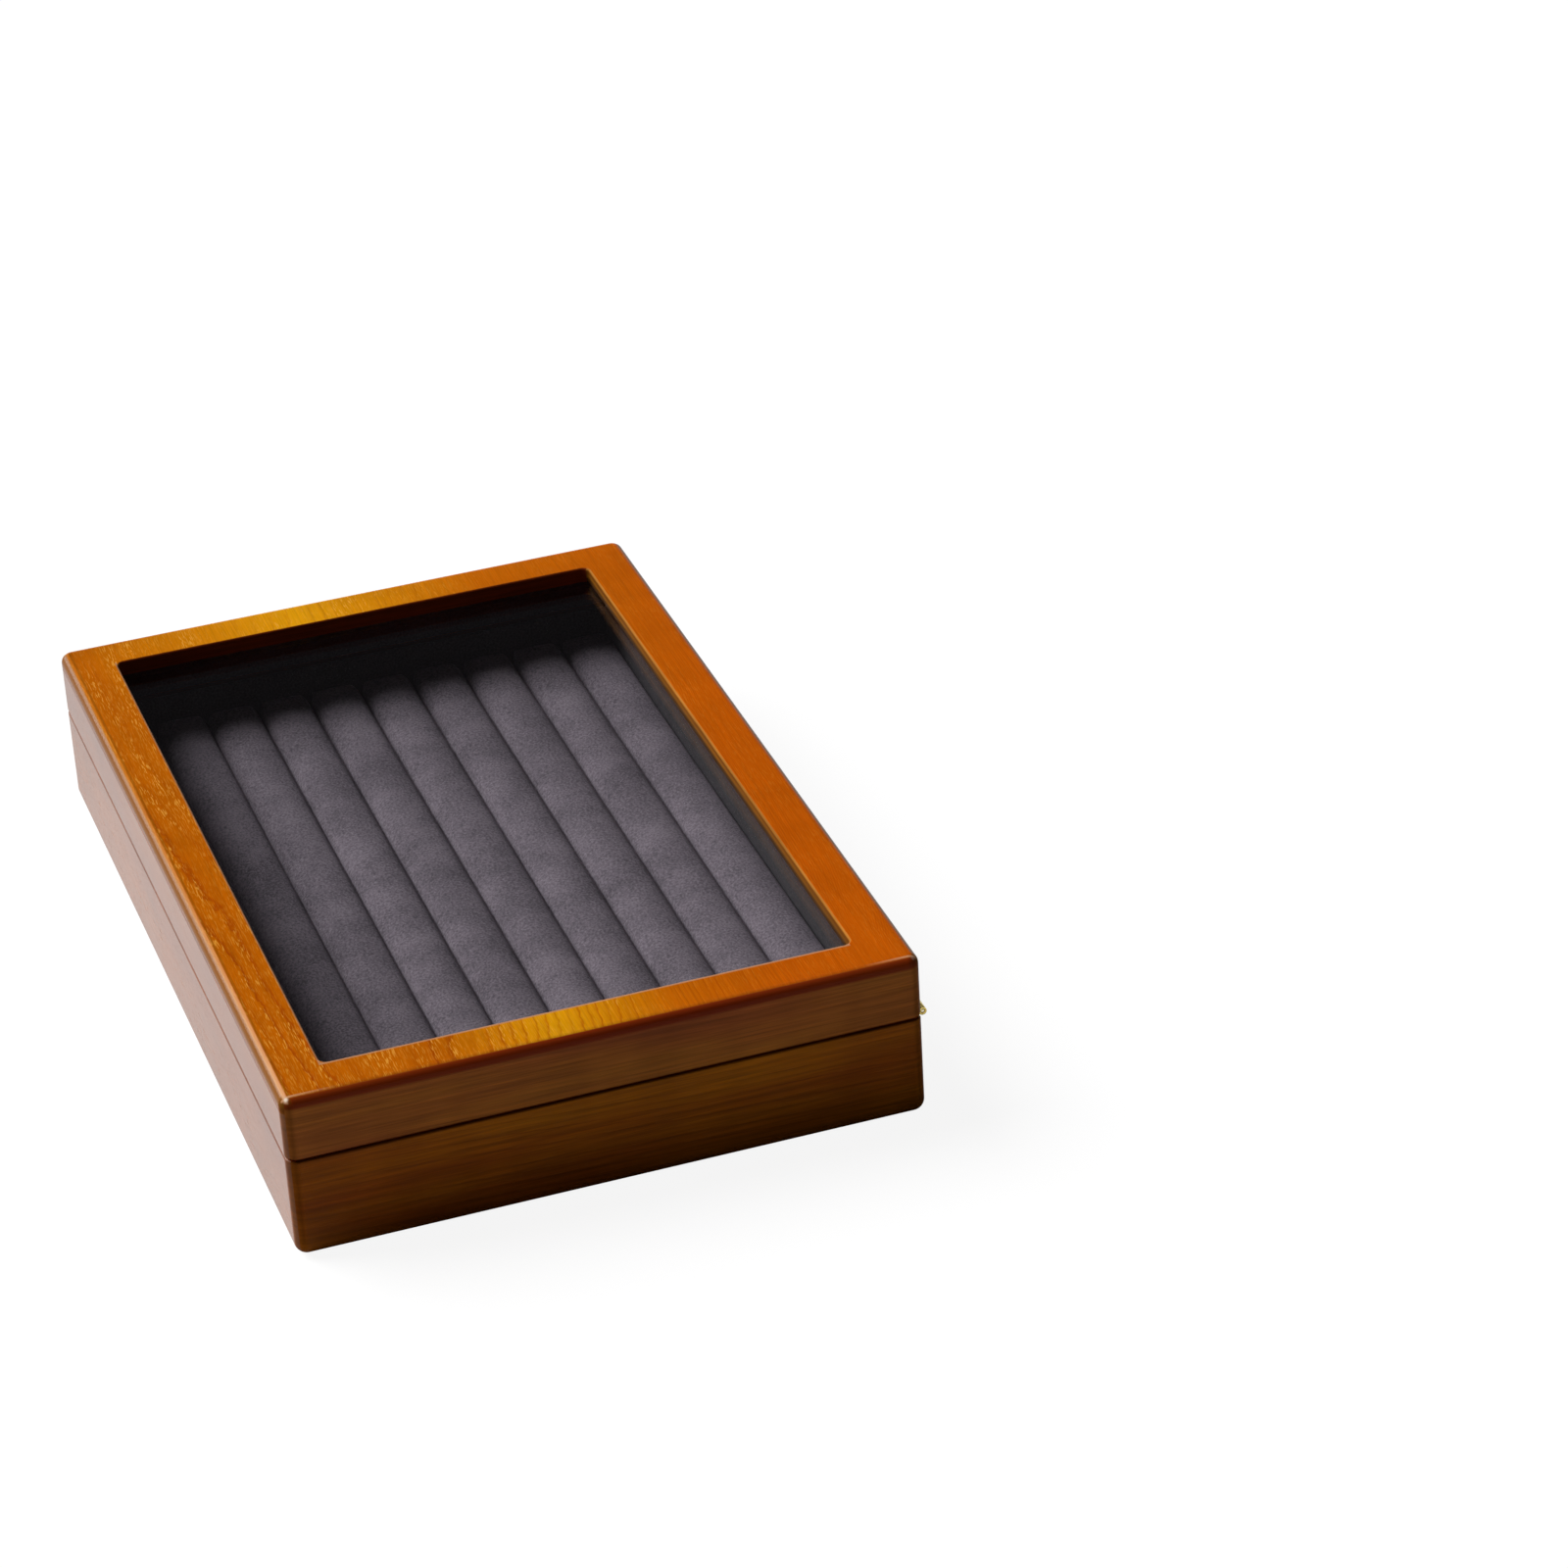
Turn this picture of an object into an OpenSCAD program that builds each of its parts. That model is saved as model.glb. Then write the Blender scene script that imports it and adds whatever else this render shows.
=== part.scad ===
// Ring display box: a wooden case with a glazed lid on two butt hinges and a
// row of padded ring rolls inside. Millimetres. +X runs along the case, +Y
// points to the hinge side, +Z is up, and the origin is the middle of the
// underside. The lid is shut.

/* [Case] */
// Length of the case, outside
case_l = 350; // [220:1:420]
// Width of the case, from the opening side to the hinge side
case_w = 230; // [150:1:300]
// Height of the closed case
case_h = 65; // [60:1:90]
// Height of the base's rim above the table
rim_z = 40; // [37:0.5:45]
// Thickness of the walls
wall_t = 8; // [7.5:0.5:11]
// Thickness of the lid's top panel
top_t = 6; // [5:0.5:8]
// Thickness of the bottom panel
bottom_t = 5; // [3:0.5:6]
// How far the bottom panel is let into the walls
bottom_lap = 2.5; // [1:0.5:3]
// Thickness of the felt glued under the base
felt_t = 0.8; // [0.5:0.1:2]
// Margin of bare wood between the foot's round and the felt
felt_margin = 1; // [0.5:0.5:6]

/* [Edges] */
// Radius of the upright corners
corner_r = 4.5; // [4.5:0.5:6.5]
// Radius of the lid's top edge
top_r = 3.5; // [1.5:0.5:4]
// Radius of the base's bottom edge
foot_r = 4.5; // [2:0.5:4.5]
// Radius of both rims' outer edges
rim_r = 1; // [0.5:0.1:1.5]
// Radius of both rims' outer edges on the hinge side
back_rim_r = 2; // [1.6:0.1:2.5]

/* [Window and glass] */
// Width of the rails round the window
rail_w = 19; // [14:0.5:30]
// Radius of the window's corners
window_r = 3; // [2:0.5:8]
// Radius of the window's top edge
window_edge_r = 1; // [0.5:0.1:1.5]
// Thickness of the glass
glass_t = 3; // [2:0.5:4]

/* [Lining] */
// Thickness of the covered boards that line the walls
lining_t = 2.4; // [1.6:0.2:3.4]
// Radius of the linings' free edge
lining_r = 0.8; // [0.4:0.1:1.2]
// How far the linings stay back from the rims
lining_drop = 1; // [0.5:0.5:4]
// Thickness of the board under the rolls
board_t = 2; // [1:0.5:3]

/* [Ring rolls] */
// Number of rolls
roll_count = 10; // [6:1:14]
// Height of a roll
roll_h = 23; // [16:0.5:25]
// Radius of a roll's top edges
roll_r = 4; // [2:0.5:5]

/* [Hinges] */
// Length of a hinge
hinge_l = 30; // [24:1:44]
// Distance from the end of the case to a hinge
hinge_inset = 4; // [3:0.5:40]
// Radius of the barrel
barrel_r = 1.5; // [1.4:0.1:1.9]
// Radius of the hinge pin
pin_r = 0.75; // [0.6:0.05:0.85]
// Distance of the pin's axis behind the hinge side
axis_out = 1; // [0.8:0.1:1.6]
// Number of knuckles on a barrel
knuckle_count = 5; // [3:2:7]
// Thickness of a leaf
leaf_t = 0.9; // [0.8:0.05:1.1]
// How far a leaf reaches into the rim
leaf_w = 6.5; // [5.5:0.5:6.5]

/* [Screws and magnets] */
// Distance of a leaf's screws from its ends
screw_inset = 6; // [2.5:0.5:9]
// Distance of the screws from the hinge side
screw_in = 3.6; // [3:0.1:4]
// Radius of a screw's shank
screw_r = 0.9; // [0.7:0.05:1]
// Radius of a screw's head
screw_head_r = 1.7; // [1.5:0.05:1.9]
// Length of a screw, with its head
screw_l = 8; // [5:0.5:9]
// Radius of a catch magnet
magnet_r = 2.5; // [1.5:0.25:3]
// Thickness of a catch magnet
magnet_t = 3; // [2:0.5:5]

/* [Clearances] */
// Gap between the two rims when the lid is shut
rim_gap = 0.4; // [0.2:0.1:0.6]
// Gap round the glass and round the bottom panel
panel_fit = 0.3; // [0.1:0.1:1]
// Gap between neighbouring rolls, and from the rolls to the linings
roll_fit = 0.3; // [0.2:0.1:1]
// Running clearance of the pin in the knuckles
pin_fit = 0.05; // [0.02:0.01:0.08]
// Gap between neighbouring knuckles
knuckle_fit = 0.2; // [0.1:0.05:0.4]
// Gap round the barrel and round the leaves in the wood
hinge_fit = 0.25; // [0.15:0.05:0.4]
// Gap round screws and magnets in their holes
hole_fit = 0.05; // [0.02:0.01:0.1]

/* [Hidden] */
$fn = 72;
// Turn of each side of the case from the opening side
FRONT = 0;
RIGHT = 90;
REAR = 180;
LEFT = 270;
// How far cutters run past the faces that they cut
past = 1;

WOOD = "#b06a16";
END_WOOD = "#5a3410";
VELVET = "#57505a";
LINING = "#221e24";
FELT = "#2a2a2c";
BRASS = "#c8b060";
NICKEL = "#b8b8bc";
GLASS = [0.75, 0.82, 0.84, 0.35];

inner_l = case_l - 2 * wall_t;
inner_w = case_w - 2 * wall_t;
well_l = inner_l - 2 * lining_t;
well_w = inner_w - 2 * lining_t;

floor_z = felt_t + bottom_t;
board_top = floor_z + board_t;
lid_rim_z = rim_z + rim_gap;
panel_z = case_h - top_t;
glass_z = panel_z - glass_t;

roll_pitch = well_w / roll_count;
roll_w = roll_pitch - roll_fit;
roll_l = well_l - 2 * roll_fit;

axis_y = case_w / 2 + axis_out;
axis_z = rim_z + rim_gap / 2;
hinge_x = case_l / 2 - hinge_inset - hinge_l / 2;
screw_x = hinge_l / 2 - screw_inset;
knuckle_l = hinge_l / knuckle_count;

function roll_name(i) = str("ring_roll_", i < 10 ? "0" : "", i);

// ---- Shared shapes ----

// What a round of radius r takes off the corner of a section at the origin
module corner_waste(r) {
    difference() {
        translate([-past, -past]) square(r + past);
        translate([r, r]) circle(r);
    }
}

// Section of a board: its outer face is at x = 0 and its inner face at x = t.
// The outer edge is rounded by low_r at the bottom and high_r at the top.
module board_section(t, low_z, high_z, low_r, high_r) {
    difference() {
        translate([0, low_z]) square([t, high_z - low_z]);
        if (low_r > 0) translate([0, low_z]) corner_waste(low_r);
        if (high_r > 0) translate([0, high_z]) mirror([0, 1]) corner_waste(high_r);
    }
}

// Runs a section along X for the length l, centred, with x of the section
// going to +Y
module along_x(l) {
    translate([-l / 2, 0, 0]) rotate([90, 0, 90]) linear_extrude(l) children();
}

// Moves a piece that stands at the opening side to one of the four sides
module on_side(turn) {
    reach = turn % 180 == 0 ? case_w / 2 : case_l / 2;
    rotate([0, 0, turn]) translate([0, -reach, 0]) children();
}

function side_l(turn) = turn % 180 == 0 ? case_l : case_w;

// A wall of the case with mitred ends. Its upright outer edges follow the
// case's corners, so each wall carries half of two corners.
module mitred_wall(turn, low_z, high_z, low_r, high_r) {
    l = side_l(turn);
    straight = l / 2 - corner_r;
    on_side(turn) {
        intersection() {
            along_x(2 * straight) board_section(wall_t, low_z, high_z, low_r, high_r);
            translate([0, 0, low_z - past]) linear_extrude(high_z - low_z + 2 * past)
                polygon([[-l / 2, 0], [l / 2, 0],
                         [l / 2 - wall_t, wall_t], [wall_t - l / 2, wall_t]]);
        }
        for (end = [0, 1]) mirror([end, 0, 0]) translate([straight, corner_r, 0])
            rotate([0, 0, -90]) rotate_extrude(angle = 45) translate([corner_r, 0])
                mirror([1, 0]) board_section(corner_r, low_z, high_z, low_r, high_r);
    }
}

// A flat slab with rounded upright corners and a rounded top edge
module rounded_slab(l, w, low_z, high_z, high_r) {
    for (turn = [0, 90]) {
        run = (turn == 0 ? l : w) - 2 * corner_r;
        span = turn == 0 ? w : l;
        rotate([0, 0, turn]) along_x(run) for (half = [0, 1]) mirror([half, 0])
            translate([-span / 2, 0]) board_section(span / 2, low_z, high_z, 0, high_r);
    }
    for (sx = [0, 1], sy = [0, 1]) mirror([sx, 0, 0]) mirror([0, sy, 0])
        translate([l / 2 - corner_r, w / 2 - corner_r, 0]) rotate_extrude(angle = 90)
            translate([corner_r, 0]) mirror([1, 0])
                board_section(corner_r, low_z, high_z, 0, high_r);
}

// The window's opening, with the waste of its rounded top edge
module window_cutter() {
    l = case_l - 2 * rail_w;
    w = case_w - 2 * rail_w;
    straight_l = l - 2 * window_r;
    straight_w = w - 2 * window_r;
    translate([0, 0, panel_z - past]) linear_extrude(top_t + 2 * past) {
        square([l, straight_w], center = true);
        square([straight_l, w], center = true);
        for (sx = [-1, 1], sy = [-1, 1])
            translate([sx * straight_l / 2, sy * straight_w / 2]) circle(window_r);
    }
    for (half = [0, 1]) {
        mirror([0, half, 0]) translate([0, -w / 2, case_h]) along_x(straight_l)
            window_edge_waste();
        mirror([half, 0, 0]) translate([l / 2, 0, case_h]) rotate([0, 0, 90])
            along_x(straight_w) window_edge_waste();
    }
    for (sx = [0, 1], sy = [0, 1]) mirror([sx, 0, 0]) mirror([0, sy, 0])
        translate([straight_l / 2, straight_w / 2, case_h]) rotate_extrude(angle = 90)
            translate([window_r, 0]) mirror([1, 0]) window_edge_waste();
}

// Section of what the window's rounded top edge takes away, with the window
// on its +X side and the panel's top face at y = 0
module window_edge_waste() {
    mirror([1, 0]) mirror([0, 1]) corner_waste(window_edge_r);
}

// ---- Wooden case ----

// What the hinges need cut out of both rims: a gain for each leaf, room for
// the barrel, and pilot holes for the screws
module hinge_gains(leaf_low_z, up) {
    for (side = [-1, 1]) translate([side * hinge_x, 0, 0]) {
        translate([-hinge_l / 2 - hinge_fit, case_w / 2 - leaf_w - hinge_fit, leaf_low_z])
            cube([hinge_l + 2 * hinge_fit, leaf_w + hinge_fit + past, leaf_t]);
        translate([0, axis_y, axis_z]) rotate([0, 90, 0])
            cylinder(r = barrel_r + hinge_fit, h = hinge_l + 2 * hinge_fit, center = true);
        for (sx = [-1, 1])
            translate([sx * screw_x, case_w / 2 - screw_in, up ? lid_rim_z : rim_z])
                mirror([0, 0, up ? 0 : 1])
                    cylinder(r = screw_r + hole_fit, h = screw_l + hole_fit);
    }
}

// The wider round along the hinge side of a rim. The rim's face is at rim;
// the wood lies below it, or above it for the lid.
module back_round_waste(rim, up) {
    translate([0, case_w / 2, rim]) mirror([0, 1, 0]) mirror([0, 0, up ? 0 : 1])
        along_x(case_l + 2 * past) corner_waste(back_rim_r);
}

module magnet_hole(rim, up) {
    translate([0, wall_t / 2 - case_w / 2, rim]) mirror([0, 0, up ? 0 : 1])
        translate([0, 0, -past])
            cylinder(r = magnet_r + hole_fit, h = magnet_t + past);
}

module base_wall(turn) {
    lap_l = inner_l + 2 * bottom_lap + 2 * panel_fit;
    lap_w = inner_w + 2 * bottom_lap + 2 * panel_fit;
    color(turn % 180 == 0 ? WOOD : END_WOOD) difference() {
        mitred_wall(turn, felt_t, rim_z, foot_r, rim_r);
        translate([-lap_l / 2, -lap_w / 2, felt_t - past]) cube([lap_l, lap_w, bottom_t + past]);
        if (turn != FRONT) hinge_gains(rim_z - leaf_t, false);
        if (turn != FRONT) back_round_waste(rim_z, false);
        if (turn == FRONT) magnet_hole(rim_z, false);
    }
}

module lid_wall(turn) {
    color(turn % 180 == 0 ? WOOD : END_WOOD) difference() {
        mitred_wall(turn, lid_rim_z, panel_z, rim_r, 0);
        if (turn != FRONT) hinge_gains(lid_rim_z, true);
        if (turn != FRONT) back_round_waste(lid_rim_z, true);
        if (turn == FRONT) magnet_hole(lid_rim_z, true);
    }
}

module bottom_panel() {
    color(WOOD) translate([0, 0, felt_t + bottom_t / 2])
        cube([inner_l + 2 * bottom_lap, inner_w + 2 * bottom_lap, bottom_t], center = true);
}

module underside_felt() {
    margin = foot_r + felt_margin;
    color(FELT) translate([0, 0, felt_t / 2])
        cube([case_l - 2 * margin, case_w - 2 * margin, felt_t], center = true);
}

module lid_top_panel() {
    color(WOOD) difference() {
        rounded_slab(case_l, case_w, panel_z, case_h, top_r);
        window_cutter();
    }
}

module lid_glass() {
    color(GLASS) translate([0, 0, glass_z + glass_t / 2])
        cube([inner_l - 2 * panel_fit, inner_w - 2 * panel_fit, glass_t], center = true);
}

// ---- Lining and rolls ----

// A covered board against a wall. The long boards run the whole length and
// the short ones fit between them.
module lining_board(turn, low_z, high_z, low_r, high_r) {
    l = turn % 180 == 0 ? inner_l : well_w;
    color(LINING) on_side(turn) translate([0, wall_t + lining_t, 0]) mirror([0, 1, 0])
        along_x(l) board_section(lining_t, low_z, high_z, low_r, high_r);
}

module base_lining(turn) {
    lining_board(turn, board_top, rim_z - lining_drop, 0, lining_r);
}

module lid_lining(turn) {
    lining_board(turn, lid_rim_z + lining_drop, glass_z, lining_r, 0);
}

module roll_board() {
    color(LINING) translate([0, 0, floor_z + board_t / 2])
        cube([inner_l, inner_w, board_t], center = true);
}

// One padded roll, counted from the opening side
module ring_roll(i) {
    color(VELVET) translate([0, -well_w / 2 + (i - 0.5) * roll_pitch, board_top])
        along_x(roll_l) difference() {
            translate([-roll_w / 2, 0]) square([roll_w, roll_h]);
            for (half = [0, 1]) mirror([half, 0]) translate([-roll_w / 2, roll_h])
                mirror([0, 1]) corner_waste(roll_r);
        }
}

// ---- Hinges ----

// One leaf with its knuckles. The base's leaf has the odd knuckles and the
// lid's leaf, which lies above the pin, has the even ones.
module hinge_leaf(side, up) {
    low_z = up ? lid_rim_z : rim_z - leaf_t;
    notch_y = axis_y - barrel_r - hinge_fit;
    color(BRASS) translate([side * hinge_x, 0, 0]) difference() {
        union() {
            translate([-hinge_l / 2, case_w / 2 - leaf_w, low_z])
                cube([hinge_l, notch_y - (case_w / 2 - leaf_w), leaf_t]);
            for (k = [0 : knuckle_count - 1]) if ((k % 2 == 1) == up) {
                start = -hinge_l / 2 + k * knuckle_l + knuckle_fit / 2;
                width = knuckle_l - knuckle_fit;
                translate([start, notch_y - past, low_z])
                    cube([width, axis_y - notch_y + past, leaf_t]);
                translate([start, axis_y, axis_z]) rotate([0, 90, 0])
                    cylinder(r = barrel_r, h = width);
            }
        }
        translate([0, axis_y, axis_z]) rotate([0, 90, 0])
            cylinder(r = pin_r + pin_fit, h = hinge_l + 2 * past, center = true);
        for (sx = [-1, 1])
            translate([sx * screw_x, case_w / 2 - screw_in, up ? lid_rim_z : rim_z])
                mirror([0, 0, up ? 0 : 1]) rotate_extrude() countersink_section(hole_fit);
    }
}

module hinge_pin(side) {
    color(BRASS) translate([side * hinge_x, axis_y, axis_z]) rotate([0, 90, 0])
        cylinder(r = pin_r, h = hinge_l - knuckle_fit, center = true);
}

// Half section of a screw's place in a leaf, which widens by fit
module countersink_section(fit) {
    polygon([[0, -fit], [screw_head_r + fit, -fit], [screw_head_r + fit, 0],
             [screw_r + fit, leaf_t], [screw_r + fit, leaf_t + past], [0, leaf_t + past]]);
}

// Half section of a countersunk screw, with its head's face at y = 0 and its
// point at y = screw_l
module screw_section() {
    tip_l = 2 * screw_r;
    polygon([[0, 0], [screw_head_r, 0], [screw_r, leaf_t],
             [screw_r, screw_l - tip_l], [0, screw_l]]);
}

// The four screws in one part's two leaves
module hinge_screws(up) {
    color(BRASS) for (side = [-1, 1], sx = [-1, 1])
        translate([side * hinge_x + sx * screw_x, case_w / 2 - screw_in,
                   up ? lid_rim_z : rim_z])
            mirror([0, 0, up ? 0 : 1]) rotate_extrude() screw_section();
}

// ---- Catch ----

module magnet(rim, up) {
    color(NICKEL) translate([0, wall_t / 2 - case_w / 2, rim])
        mirror([0, 0, up ? 0 : 1]) translate([0, 0, hole_fit])
            cylinder(r = magnet_r, h = magnet_t - hole_fit);
}

// ---- Base ----
base_wall(FRONT);  // base_front_wall
base_wall(REAR);  // base_rear_wall
base_wall(LEFT);  // base_left_wall
base_wall(RIGHT);  // base_right_wall
bottom_panel();
underside_felt();
roll_board();
base_lining(FRONT);  // base_front_lining
base_lining(REAR);  // base_rear_lining
base_lining(LEFT);  // base_left_lining
base_lining(RIGHT);  // base_right_lining
for (i = [1 : roll_count])
    ring_roll(i);
hinge_leaf(-1, false);  // left_hinge_base_leaf
hinge_leaf(1, false);  // right_hinge_base_leaf
hinge_pin(-1);  // left_hinge_pin
hinge_pin(1);  // right_hinge_pin
hinge_screws(false);  // base_hinge_screws
magnet(rim_z, false);  // base_magnet

// ---- Lid ----
lid_top_panel();
lid_wall(FRONT);  // lid_front_wall
lid_wall(REAR);  // lid_rear_wall
lid_wall(LEFT);  // lid_left_wall
lid_wall(RIGHT);  // lid_right_wall
lid_glass();
lid_lining(FRONT);  // lid_front_lining
lid_lining(REAR);  // lid_rear_lining
lid_lining(LEFT);  // lid_left_lining
lid_lining(RIGHT);  // lid_right_lining
hinge_leaf(-1, true);  // left_hinge_lid_leaf
hinge_leaf(1, true);  // right_hinge_lid_leaf
hinge_screws(true);  // lid_hinge_screws
magnet(lid_rim_z, true);  // lid_magnet
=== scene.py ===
import math
from types import SimpleNamespace

import bmesh
import bpy
import numpy as np
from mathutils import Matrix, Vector, noise


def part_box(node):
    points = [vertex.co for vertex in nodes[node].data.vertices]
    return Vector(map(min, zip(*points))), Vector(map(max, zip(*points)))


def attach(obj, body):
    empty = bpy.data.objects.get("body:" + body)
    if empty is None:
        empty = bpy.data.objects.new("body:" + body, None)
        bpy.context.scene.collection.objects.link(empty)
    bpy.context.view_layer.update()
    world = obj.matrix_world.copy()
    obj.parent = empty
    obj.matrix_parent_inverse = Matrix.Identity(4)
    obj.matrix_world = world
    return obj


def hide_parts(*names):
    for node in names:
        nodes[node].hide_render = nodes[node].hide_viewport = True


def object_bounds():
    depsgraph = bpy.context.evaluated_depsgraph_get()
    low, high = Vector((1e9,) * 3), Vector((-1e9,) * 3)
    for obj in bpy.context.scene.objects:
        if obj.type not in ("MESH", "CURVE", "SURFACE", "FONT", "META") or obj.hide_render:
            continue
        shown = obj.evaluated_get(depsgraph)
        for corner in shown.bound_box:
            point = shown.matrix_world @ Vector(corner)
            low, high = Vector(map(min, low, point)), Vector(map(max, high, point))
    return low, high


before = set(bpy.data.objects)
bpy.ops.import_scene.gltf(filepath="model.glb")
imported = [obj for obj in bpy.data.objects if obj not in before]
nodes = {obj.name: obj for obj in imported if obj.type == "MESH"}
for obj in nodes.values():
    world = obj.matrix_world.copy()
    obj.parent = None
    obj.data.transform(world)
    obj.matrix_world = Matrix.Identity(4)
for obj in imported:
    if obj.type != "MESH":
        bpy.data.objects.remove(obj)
bpy.context.view_layer.update()
cad_box = [list(corner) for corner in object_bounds()]
MM = 0.001
scene = bpy.context.scene
scene.view_settings.view_transform = "Standard"

# ---- Camera ----
# A long lens from the right end of the case, a little towards the opening
# side, which looks down on the lid at thirty degrees.
camera_data = bpy.data.cameras.new("camera")
camera_data.lens = 120.743
camera_data.sensor_width = 36
camera_data.clip_end = 20
camera = bpy.data.objects.new("camera", camera_data)
camera.location = (1.64548, -0.39376, 1.02499)
camera.rotation_euler = [math.radians(a) for a in (60.24553, 2.90631, 70.88208)]
scene.collection.objects.link(camera)
scene.camera = camera

# ---- Floor and light ----
# A white paper floor, one big softbox over the case that leans to the far
# left, a small low one beside it, and a weak grey room. The right end of the
# case stays in shade. A white wall closes the room without lighting the case.


def linear(code):
    """The linear colour of an sRGB hex code, with an alpha of 1."""
    parts = [int(code[i : i + 2], 16) / 255 for i in (1, 3, 5)]
    return [c / 12.92 if c <= 0.04045 else ((c + 0.055) / 1.055) ** 2.4 for c in parts] + [1.0]


def add(tree, kind, *values, ramp=None, **settings):
    """Adds a node and gives its first output. kind is its type, and after a
    space its operation or data type. values go to its inputs in order, each a
    number, a colour or another node's output. settings are its inputs by name,
    with _ for a space, or its properties, and ramp is a list of stops."""
    kind, _, mode = kind.partition(" ")
    node = tree.nodes.new(kind if "Node" in kind else "ShaderNode" + kind)
    if mode:
        setattr(node, "operation" if hasattr(node, "operation") else "data_type", mode)
    named = {name.replace("_", " "): value for name, value in settings.items() if name[0].isupper()}
    for name, value in settings.items():
        if name[0].islower():
            setattr(node, name, value)
    inputs = [socket for socket in node.inputs if socket.enabled]
    for socket, value in [*zip(inputs, values), *((node.inputs[name], v) for name, v in named.items())]:
        if isinstance(value, bpy.types.NodeSocket):
            tree.links.new(value, socket)
        elif value is not None:
            socket.default_value = value
    stops = node.color_ramp.elements if ramp else ()
    for i, (place, colour) in enumerate(ramp or ()):
        stop = stops[i] if i < 2 else stops.new(place)
        stop.position = place
        stop.color = colour if isinstance(colour, list) else [colour] * 3 + [1.0]
    return next((socket for socket in node.outputs if socket.enabled), None)


def new_material(name):
    """A material, its empty tree, and a point on the piece in millimetres."""
    material = bpy.data.materials.new(name)
    material.use_nodes = True
    tree = material.node_tree
    tree.nodes.clear()
    place = add(tree, "TexCoord").node.outputs["Object"]
    return material, tree, add(tree, "VectorMath SCALE", place, Scale=1 / MM)


# The floor lies a hair below the case, so that no two faces coincide
FLOOR_SIZE, FLOOR_Z = 40.0, -0.05 * MM
# How white the paper is for the object's light, for its mirror image and for
# the camera, which also sees the glow that stands for a lit backdrop
FLOOR_BOUNCE, FLOOR_MIRRORED, FLOOR_WHITE, FLOOR_GLOW = 0.42, 0.95, 0.13, 0.9
paper, tree, _ = new_material("white paper floor")
rays = add(tree, "LightPath").node.outputs
seen = rays["Is Camera Ray"]
mirrored = add(tree, "Math MAXIMUM", rays["Is Glossy Ray"], rays["Is Transmission Ray"])
white = add(tree, "Math MULTIPLY_ADD", seen, FLOOR_WHITE - FLOOR_BOUNCE, FLOOR_BOUNCE)
white = add(tree, "Math MULTIPLY_ADD", mirrored, FLOOR_MIRRORED - FLOOR_BOUNCE, white)
glow = add(tree, "Emission", linear("#FFFFFF"), add(tree, "Math MULTIPLY", seen, FLOOR_GLOW))
add(tree, "OutputMaterial", add(tree, "AddShader", add(tree, "BsdfDiffuse", white), glow))
floor_mesh = bpy.data.meshes.new("floor")
half = FLOOR_SIZE / 2
floor_mesh.from_pydata([(x, y, FLOOR_Z) for x, y in ((-half, -half), (half, -half), (half, half), (-half, half))],
                       [], [(0, 1, 2, 3)])
floor_mesh.materials.append(paper)
floor = bpy.data.objects.new("floor", floor_mesh)
scene.collection.objects.link(floor)

# The wall is white to the camera and in mirror images, up to a low height.
# Mirror images also show a pale ceiling, which makes bare metal look bright
ROOM_LIGHT, WALL_FROM, WALL_TO = 0.024, 0.2, 0.35
CEILING_LIGHT, CEILING_FROM, CEILING_TO = 0.4, 0.57, 0.64
world = bpy.data.worlds.new("grey room with a white wall")
world.use_nodes = True
tree = world.node_tree
tree.nodes.clear()
rays = add(tree, "LightPath").node.outputs
mirrored = add(tree, "Math MAXIMUM", rays["Is Glossy Ray"], rays["Is Transmission Ray"])
height = add(tree, "SeparateXYZ", add(tree, "TexCoord")).node.outputs["Z"]
wall = add(tree, "MapRange", height, WALL_FROM, WALL_TO, 1.0, 0.0)
wall = add(tree, "Math MULTIPLY", wall, add(tree, "Math MAXIMUM", rays["Is Camera Ray"], mirrored))
ceiling = add(tree, "MapRange", height, CEILING_FROM, CEILING_TO, 0.0, CEILING_LIGHT)
bright = add(tree, "Math MULTIPLY_ADD", ceiling, rays["Is Glossy Ray"], wall)
add(tree, "OutputWorld", add(tree, "MixShader", bright, add(tree, "Background", linear("#F2E6F0"), ROOM_LIGHT),
                             add(tree, "Background", linear("#FFFFFF"), 1.0)))
scene.world = world


def daylight(name, away, strength, spread):
    """A lamp far away in one direction, as wide as a softbox looks there, of
    spread degrees."""
    lamp = bpy.data.lights.new(name, "SUN")
    lamp.angle = math.radians(spread)
    lamp.energy = strength
    sun = bpy.data.objects.new(name, lamp)
    sun.rotation_euler = Vector(away).to_track_quat("Z", "Y").to_euler()
    scene.collection.objects.link(sun)


daylight("key_light", (-0.45, -0.52, 0.72), 3.9, 42)
daylight("left_light", (-0.83, -0.42, 0.28), 0.7, 22)

# ---- Wooden case ----
# Thin boards faced with ash veneer, stained golden orange and sprayed with a
# satin lacquer. The lid's top is one sheet and the walls are mitred. Lid and
# base are cut from one box, so that the grain runs on across the split.

# Sizes of the figure, in millimetres. The rings stand furthest apart at the
# heart line and close up away from it, bent by waves and scalloped by knocks
# of so many rings. The walls are cut from further out.
HEART_Y, HEART_DEPTH, LOG_TAPER = -76.0, 20.0, 0.05
RING_W, CLOSING_FROM, CLOSING_POWER = 6.2, 41.0, 3.0
WAVE, KNOCK = 13.0, 0.3
WALL_OFFSET = -18.0
# Pores and fibres are drawn twice as wide as real ones, which would not show
PORE_W, PORE_L = 0.45, 4.5
FIBRE_W, FIBRE_L = 0.4, 30.0
# The sheet's golden band, which slants and widens along the lid
GOLD_Y, GOLD_SLANT, GOLD_W, GOLD_TAPER = -19.0, 0.04, 30.0, -0.06
# The stain's darkest and lightest shade on the long walls and on the short
LONG_TONES, SHORT_TONES = ("#7E3E0C", "#904E0F"), ("#A04C28", "#C07428")
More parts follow.
